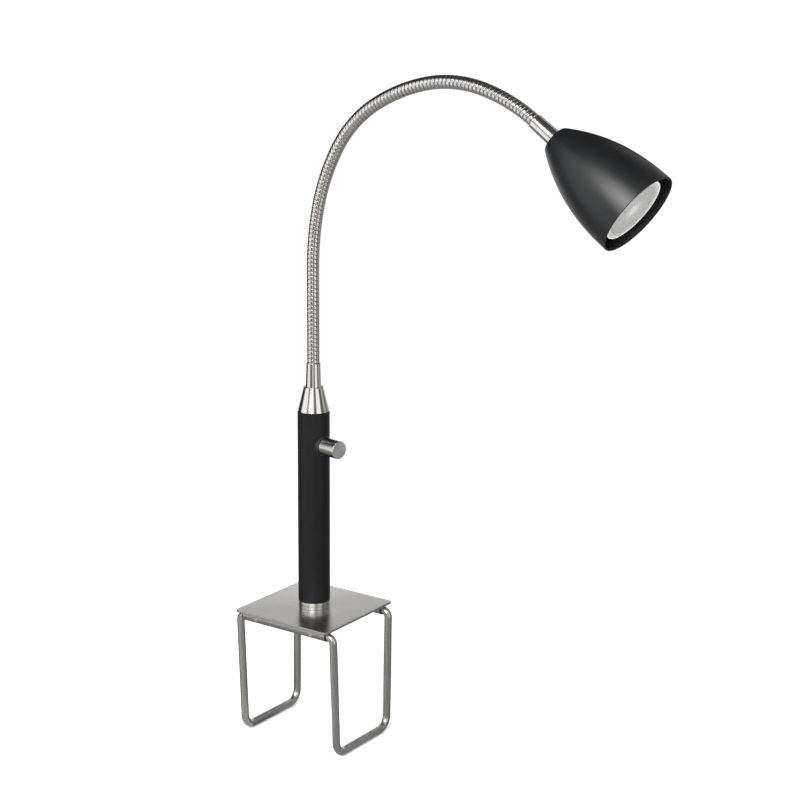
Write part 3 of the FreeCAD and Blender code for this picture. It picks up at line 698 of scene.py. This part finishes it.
def make_cone():
    low, high = box_mm("cone_cap")
    base = box_mm("post_tube")[1].z
    wide = high.x
    bore = STEM_RADIUS + FIT_GAP
    spigot = wide - POST_WALL - FIT_GAP
    cone = turned("cone", [(bore, low.z), (spigot, low.z), (spigot, base), (wide, base, 0.1),
                           (wide, base + 0.25, 0.2), (CONE_TOP_RADIUS, high.z, 0.4),
                           (bore, high.z)], "turned_steel", turns=128)
    stands_for(cone, "root", "cone_cap")


def make_grommet():
    low, high = box_mm("cable_grommet")
    height = (low.z + high.z) / 2
    flange = (high.z - low.z) / 2
    step = GROMMET_INNER + GROMMET_WAIST_LENGTH
    grommet = turned("grommet", [
        (GROMMET_BORE, GROMMET_INNER), (GROMMET_WAIST, GROMMET_INNER, 0.3),
        (GROMMET_WAIST, step), (flange, step), (flange, GROMMET_OUTER - 1.3, 0.4),
        (flange - 1.6, GROMMET_OUTER, 0.8), (GROMMET_BORE, GROMMET_OUTER, 0.5)],
        "outlet_rubber", axis_place((0, 0, height), level_way(OUTLET_AZIMUTH)), turns=72)
    stands_for(grommet, "root", "cable_grommet")


# Knob

KNOB_HEIGHT = 144.9
KNOB_AZIMUTH = -12.0
KNOB_RADIUS = 7.15
KNOB_BORE = 3.05
KNOB_BACK = 14.0
KNOB_FRONT = 30.8
SEAT_RADIUS = 7.7
SEAT_BORE = 3.8
SEAT_BACK = 9.9
SEAT_FRONT = 13.6


def knob_place(distance=0.0):
    along = level_way(KNOB_AZIMUTH)
    return axis_place(Vector((0, 0, KNOB_HEIGHT)) + along * distance, along, (0, 0, 1))


def make_knob():
    length = KNOB_FRONT - KNOB_BACK
    knob = turned("knob_body", [
        (KNOB_BORE, 0), (KNOB_RADIUS - 0.4, 0, 0.1), (KNOB_RADIUS, 0.4, 0.1),
        (KNOB_RADIUS, length - 0.55, 0.25), (KNOB_RADIUS - 0.55, length, 0.25), (0, length),
        (0, length * 0.7), (KNOB_BORE, length * 0.7)],
        "turned_steel", knob_place(KNOB_BACK), turns=112)
    stands_for(knob, "knob", "knob")
    seat = turned("seat_ring", [
        (SEAT_BORE, SEAT_BACK), (SEAT_RADIUS, SEAT_BACK), (SEAT_RADIUS, SEAT_FRONT, 0.3),
        (SEAT_BORE, SEAT_FRONT)], "black_plastic", knob_place(), turns=80)
    stands_for(seat, "root", "knob_seat")


# Gooseneck

NECK_RADIUS = 5.05
RIDGE_PITCH = 3.26
RIDGE_DEPTH = 0.40
SEAM_DEPTH = 0.12
SEAM_WIDTH = 0.28
RIDGE_SIDES = 44
RIDGE_STEPS = 10
NECK_BORE = 2.8
FERRULE_NARROW = 5.65
SOCKET_RADIUS = 5.1
SOCKET_DEPTH = 10.0
# Each run is (bend radius, length or degrees of bend, count of rigid lengths in it).
NECK_RUNS = ((None, 74.66, 4), (214.4, 12.87, 2), (153.7, 17.95, 2), (95.7, 28.83, 2),
             (145.0, 19.03, 2), (104.5, 26.4, 2), (136.9, 20.16, 3))


def neck_step(point, lean, radius, length):
    """Point and lean after going a length on from a point, straight or along a bend."""
    if radius is None:
        return point + Vector((math.sin(lean), 0, math.cos(lean))) * length, lean
    turned_to = lean + length / radius
    centre = point + Vector((math.cos(lean), 0, -math.sin(lean))) * radius
    return centre - Vector((math.cos(turned_to), 0, -math.sin(turned_to))) * radius, turned_to


def neck_runs():
    """(start distance, length, start point, start lean, bend radius) of each run of the neck."""
    point = Vector((0, 0, box_mm("lower_ferrule")[1].z))
    distance, lean = 0.0, 0.0
    for radius, amount, _ in NECK_RUNS:
        length = amount if radius is None else radius * math.radians(amount)
        yield distance, length, point, lean, radius
        point, lean = neck_step(point, lean, radius, length)
        distance += length


RUNS = list(neck_runs())


def neck_at(distance):
    """Point on the gooseneck's centreline at a distance from its foot, and its lean there."""
    for start, length, point, lean, radius in RUNS:
        if distance <= start + length + 1e-9:
            return neck_step(point, lean, radius, distance - start)
    return neck_step(point, lean, radius, distance - start)


def neck_bounds():
    """Distances at which the rigid lengths of the gooseneck begin and end."""
    bounds = [0.0]
    for (start, length, _, _, _), (_, _, count) in zip(RUNS, NECK_RUNS):
        bounds += [start + length * (index + 1) / count for index in range(count)]
    return bounds


def ridge_radius(phase):
    """Radius of the wound strip's surface at a phase of its pitch.

    Phase 0 is down in the groove, and phase 0.5 in the shallow seam between the two wires.
    """
    across = abs(phase % 1.0 - 0.5) * 2
    seam = SEAM_DEPTH * max(0.0, 1 - across / SEAM_WIDTH) ** 2
    return NECK_RADIUS - RIDGE_DEPTH * across ** 4 - seam


def neck_length(name, start, end):
    """A length of the wound gooseneck. Its rows follow the winding's pitch round the tube."""
    first = math.floor(start / RIDGE_PITCH * RIDGE_STEPS) - 1
    last = math.ceil((end / RIDGE_PITCH + 1) * RIDGE_STEPS) + 1
    points, depths = [], []
    for row in range(first, last + 1):
        for turn in range(RIDGE_SIDES + 1):
            share = turn / RIDGE_SIDES
            distance = min(max((row / RIDGE_STEPS - share) * RIDGE_PITCH, start), end)
            radius = ridge_radius(distance / RIDGE_PITCH + share)
            point, lean = neck_at(distance)
            outward = Vector((math.cos(lean), 0, -math.sin(lean)))
            angle = 2 * math.pi * share
            points.append(point + outward * math.cos(angle) * radius
                          + Vector((0, 1, 0)) * math.sin(angle) * radius)
            depths.append((NECK_RADIUS - radius) / RIDGE_DEPTH)
    columns = RIDGE_SIDES + 1
    faces = []
    for row in range(last - first):
        for turn in range(RIDGE_SIDES):
            face = (row * columns + turn, row * columns + turn + 1,
                    (row + 1) * columns + turn + 1, (row + 1) * columns + turn)
            spots = [points[index] for index in face]
            area = (spots[2] - spots[0]).cross(spots[3] - spots[1]).length / 2
            if area > 1e-5:
                faces.append(face)
    mesh = bpy.data.meshes.new(name)
    mesh.from_pydata([point * MM for point in points], [], faces)
    # How deep each point lies between the ridges, which the painted shade of neck_steel reads.
    groove = mesh.attributes.new("groove", "FLOAT", "POINT")
    groove.data.foreach_set("value", depths)
    work = bmesh.new()
    work.from_mesh(mesh)
    bmesh.ops.delete(work, geom=[vert for vert in work.verts if not vert.link_faces],
                     context="VERTS")
    bmesh.ops.remove_doubles(work, verts=work.verts, dist=2e-6)
    bmesh.ops.recalc_face_normals(work, faces=work.faces)
    work.to_mesh(mesh)
    work.free()
    mesh.shade_smooth()
    mesh.materials.append(MATERIALS["neck_steel"])
    piece = bpy.data.objects.new(name, mesh)
    bpy.context.scene.collection.objects.link(piece)
    return piece


def make_neck():
    """Lengths that each reach across one hinge, from the middle of one rigid piece to the next."""
    bounds = neck_bounds()
    middles = [(low + high) / 2 for low, high in zip(bounds, bounds[1:])]
    count = len(middles)
    foot = neck_length("neck_length_01", 0.5 - SOCKET_DEPTH, middles[0])
    stands_for(foot, "root", "neck_segment_01")
    for number in range(1, count):
        start, end = middles[number - 1], middles[number]
        piece = neck_length(f"neck_length_{number + 1:02d}", start, end)
        neck_at(start)[0] * MM
        neck_at(end)[0] * MM
        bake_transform(piece)
        if number < count - 1:
            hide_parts(f"neck_segment_{number + 1:02d}")
    top = neck_length(f"neck_length_{count + 1:02d}", middles[-1], bounds[-1] + 0.3)
    stands_for(top, "head", f"neck_segment_{count:02d}")


def make_lower_ferrule():
    low, high = box_mm("lower_ferrule")
    base = box_mm("cone_cap")[1].z
    socket_floor = high.z - SOCKET_DEPTH
    ferrule = turned("ferrule_low", [
        (NECK_BORE, low.z), (STEM_RADIUS, low.z), (STEM_RADIUS, base), (high.x, base, 0.2),
        (FERRULE_NARROW, high.z, 0.15), (SOCKET_RADIUS, high.z), (SOCKET_RADIUS, socket_floor),
        (NECK_BORE, socket_floor)], "turned_steel")
    stands_for(ferrule, "root", "lower_ferrule")


# Head

FERRULE_HEIGHT = 20.3
FERRULE_WIDE = 6.1
TENON_RADIUS = 5.0
TENON_LENGTH = 7.0
SHADE_LENGTH = 80.0
SHADE_MOUTH = 32.0
SHADE_TAPER = 0.675
SHADE_POWER = 2.32
SHADE_WALL = 1.2
SHADE_HOLE = 5.2
SHADE_BACK_ROUNDING = 2.4
SHADE_BACK_LENGTH = 4.0
SHADE_LIP_ROUNDING = 0.45
BULB_RECESS = 4.2
BULB_RADIUS = 25.0
BULB_WALL = 1.5
BULB_LENGTH = 51.0
BULB_BASE = 9.0
BULB_RIM = 7.0
BULB_NECK = 12.0
RIB_COUNT = 36
RIB_DEPTH = 0.55


def head_place(height=0.0):
    """Placement along the head's own axis, which runs from the shade's back to its mouth."""
    point, lean = neck_at(neck_bounds()[-1])
    along = Vector((math.sin(lean), 0, math.cos(lean)))
    return axis_place(point + along * (FERRULE_HEIGHT + height), along, (0, 1, 0))


def shade_radius(height):
    share = 1 - height / SHADE_LENGTH
    return SHADE_MOUTH * (1 - SHADE_TAPER * max(share, 0) ** SHADE_POWER)


def make_upper_ferrule():
    tenon_end = FERRULE_HEIGHT + TENON_LENGTH
    ferrule = turned("ferrule_high", [
        (NECK_BORE, 0), (FERRULE_NARROW, 0, 0.25), (FERRULE_WIDE, FERRULE_HEIGHT, 0.2),
        (TENON_RADIUS, FERRULE_HEIGHT), (TENON_RADIUS, tenon_end), (NECK_BORE, tenon_end)],
        "turned_steel", head_place(-FERRULE_HEIGHT))
    stands_for(ferrule, "head", "upper_ferrule")


def make_shade():
    """Spun shell with a rounded back, an even wall and a softly rounded lip."""
    stations = 40
    outer = [(shade_radius(0), 0, SHADE_BACK_ROUNDING)]
    for index in range(1, stations - 1):
        height = SHADE_BACK_LENGTH + (SHADE_LENGTH - SHADE_BACK_LENGTH) * index / (stations - 1)
        outer.append((shade_radius(height), height))
    outer.append((SHADE_MOUTH, SHADE_LENGTH, SHADE_LIP_ROUNDING))
    inner = [(SHADE_MOUTH - SHADE_WALL, SHADE_LENGTH, SHADE_LIP_ROUNDING)]
    for index in range(stations - 2, -1, -1):
        height = SHADE_WALL + (SHADE_LENGTH - SHADE_WALL) * index / (stations - 1)
        inner.append((shade_radius(height) - SHADE_WALL, height))
    shade = turned("shade_shell", [(SHADE_HOLE, 0)] + outer + inner + [(SHADE_HOLE, SHADE_WALL)],
                   "shade_paint", head_place(), turns=160, smooth_angle=50.0)
    stands_for(shade, "head", "shade")


def make_bulb_housing():
    """White moulded shell of the bulb: cooling ribs behind, and a lip round the lens."""
    back = SHADE_LENGTH - BULB_RECESS - BULB_LENGTH + BULB_BASE
    height = BULB_LENGTH - BULB_BASE
    rim = height - BULB_RIM
    turns = 144
    inside = BULB_RADIUS - BULB_WALL
    line = softened([(BULB_NECK, 0, 0.4), (BULB_RADIUS, rim, 2.0), (BULB_RADIUS, height, 0.5),
                     (inside, height, 0.3), (inside, height - 2.2)], closed=False)
    steps = 14
    slope = [Vector((BULB_NECK + (BULB_RADIUS - BULB_NECK) * step / steps, rim * step / steps))
             for step in range(steps)]
    line = slope + [spot for spot in line if spot.y > rim - 1.8]
    points = []
    for spot in line:
        ribbed = 0.0 if spot.y > rim - 3 or spot.y < 2 else RIB_DEPTH
        for turn in range(turns):
            angle = 2 * math.pi * turn / turns
            radius = spot.x - ribbed * (0.5 - 0.5 * math.cos(angle * RIB_COUNT)) ** 0.6
            points.append((radius * math.cos(angle), radius * math.sin(angle), spot.y))
    housing = make_piece("bulb_shell", points, grid_faces(len(line), turns), "bulb_plastic",
                         head_place(back))
    stands_for(housing, "bulb", "bulb_housing")


LENS_CELL = 2.3
LENS_RELIEF = 0.45
LENS_CENTRE = 6.5
LENS_PLAIN_EDGE = 1.9
LENS_EDGE_DROP = 0.3
LENS_INSET = 0.15


def lens_height(across, up):
    """Relief of the lens's front: a smooth dome in the middle and rows of small lenses round it."""
    radius = math.hypot(across, up)
    if radius < LENS_CENTRE:
        return 0.55 * (1 - (radius / LENS_CENTRE) ** 2) - LENS_EDGE_DROP
    if radius > BULB_RADIUS - BULB_WALL - LENS_PLAIN_EDGE:
        return 0.0
    circle = round(radius / LENS_CELL)
    count = max(6, round(2 * math.pi * circle))
    angle = math.atan2(up, across) + (math.pi / count if circle % 2 else 0.0)
    step = 2 * math.pi / count
    off_angle = (angle % step - step / 2) * radius
    off_circle = radius - circle * LENS_CELL
    reach = math.hypot(off_angle, off_circle) / (LENS_CELL * 0.62)
    return LENS_RELIEF * (math.sqrt(max(0.0, 1 - min(reach, 1.0) ** 2)) - 1.0)


def make_lens():
    radius = BULB_RADIUS - BULB_WALL - FIT_GAP
    rings, turns = 94, 288
    points = []
    for row in range(rings + 1):
        across = radius * row / rings
        for turn in range(turns):
            angle = 2 * math.pi * turn / turns
            x, y = across * math.cos(angle), across * math.sin(angle)
            points.append((x, y, lens_height(x, y) if row < rings else -LENS_EDGE_DROP))
    lens = make_piece("lens", points, grid_faces(rings + 1, turns), "bulb_lens",
                      head_place(SHADE_LENGTH - BULB_RECESS - LENS_INSET), smooth_angle=60.0)
    stands_for(lens, "bulb", "bulb_lens")


# Stage and light

FLOOR_LEVEL = -0.0985
CARD_FLOOR = FLOOR_LEVEL + 0.001
CARD_TOP = 1.4
BACK_CARD_TOP = 0.38
CARD_DISTANCE = 0.85
FLOOR_REACH = 40.0
CAMERA_AZIMUTH = math.atan2(CAMERA_AT.y, CAMERA_AT.x)


def beside_camera(turn, distance, height):
    """A point at an angle to the right of the camera, as seen from the lamp."""
    angle = CAMERA_AZIMUTH + math.radians(turn)
    return Vector((distance * math.cos(angle), distance * math.sin(angle), height))


def glow_material(name, brightness):
    material = bpy.data.materials.new(name)
    material.use_nodes = True
    tree = material.node_tree
    tree.nodes.clear()
    glow = add_node(tree, "ShaderNodeEmission", {"Color": (1, 1, 1, 1), "Strength": brightness})
    add_node(tree, "ShaderNodeOutputMaterial", {"Surface": glow.outputs[0]})
    return material


def make_card(name, points, faces, brightness):
    """A studio card outside the picture that only shows in the glossy parts."""
    mesh = bpy.data.meshes.new(name)
    mesh.from_pydata(points, [], faces)
    mesh.materials.append(glow_material(name, brightness))
    card = bpy.data.objects.new(name, mesh)
    bpy.context.scene.collection.objects.link(card)
    card.visible_camera = False
    card.visible_diffuse = False
    card.visible_shadow = False
    card.visible_transmission = False


def wall_card(name, start, end, brightness, low=FLOOR_LEVEL, high=CARD_TOP):
    """Part of a ring of cards, between two angles to the right of the camera."""
    steps = 12
    points = []
    for step in range(steps + 1):
        turn = start + (end - start) * step / steps
        points += [beside_camera(turn, CARD_DISTANCE, height) for height in (low, high)]
    faces = [(step * 2, step * 2 + 2, step * 2 + 3, step * 2 + 1) for step in range(steps)]
    make_card(name, points, faces, brightness)


def level_card(name, start, end, brightness, height):
    """Sector of a level disc, between two angles to the right of the camera."""
    steps = 24
    points = [(0, 0, height)]
    for step in range(steps + 1):
        points.append(beside_camera(start + (end - start) * step / steps, CARD_DISTANCE, height))
    faces = [(0, step + 1, step + 2) for step in range(steps)]
    make_card(name, points, faces, brightness)


def area_light(name, at, towards, side, power):
    """A square area light that faces a point."""
    light = bpy.data.objects.new(name, bpy.data.lights.new(name, "AREA"))
    light.data.shape = "SQUARE"
    light.data.size = side
    light.data.energy = power
    bpy.context.scene.collection.objects.link(light)
    light.location = at
    light.rotation_euler = (towards - at).to_track_quat("-Z", "Y").to_euler()
    light.visible_camera = False


def make_stage():
    mesh = bpy.data.meshes.new("floor")
    mesh.from_pydata([(x * FLOOR_REACH, y * FLOOR_REACH, FLOOR_LEVEL)
                      for x, y in ((-1, -1), (1, -1), (1, 1), (-1, 1))], [], [(0, 1, 2, 3)])
    floor_material = vary(plain_material("floor", (0.93, 0.93, 0.93), 0.9), moulded_grain,
                          0.004, 0.03, 2.0, 0.0)
    mesh.materials.append(floor_material)
    floor = bpy.data.objects.new("floor", mesh)
    bpy.context.scene.collection.objects.link(floor)
    # Each part of the ring is (name, its two angles, brightness of its wall and of its floor).
    for name, start, end, wall, ground in (
            ("left_far", -140, -97, 0.02, 0.15), ("left", -97, -50, 1.10, 0.48),
            ("left_near", -50, -19, 0.08, 0.44), ("camera", -19, 2, 0.70, 0.34),
            ("right_near", 2, 22, 0.15, 0.34), ("right", 22, 55, 1.15, 0.28),
            ("right_far", 55, 79, 0.12, 0.28), ("right_back", 79, 98, 0.50, 0.22),
            ("right_dim", 98, 120, 0.20, 0.22), ("right_end", 120, 140, 0.50, 0.22)):
        wall_card(f"card_{name}", start, end, wall)
        level_card(f"card_floor_{name}", start, end, ground, CARD_FLOOR)
    wall_card("card_back_low", 140, 220, 1.0, high=BACK_CARD_TOP)
    wall_card("card_back_high", 140, 220, 0.03, low=BACK_CARD_TOP)
    level_card("card_floor_back", 140, 220, 0.30, CARD_FLOOR)
    level_card("card_ceiling", 0, 360, 0.06, CARD_TOP)
    world = bpy.data.worlds.new("studio")
    world.use_nodes = True
    background = world.node_tree.nodes["Background"]
    background.inputs["Color"].default_value = (1, 1, 1, 1)
    background.inputs["Strength"].default_value = 1.13
    bpy.context.scene.world = world
    head = head_place(SHADE_LENGTH / 2).translation
    area_light("key", beside_camera(-22, 1.2, 0.95), head, 0.7, 30.0)
    bpy.context.scene.view_settings.view_transform = "Standard"


dress_cad_nodes()
make_plate()
make_plate_fastenings()
make_guides()
make_guide_rings()
make_set_screws()
make_loops()
make_collar()
make_post()
make_cone()
make_grommet()
make_knob()
make_lower_ferrule()
make_neck()
make_upper_ferrule()
make_shade()
make_bulb_housing()
make_lens()
make_stage()
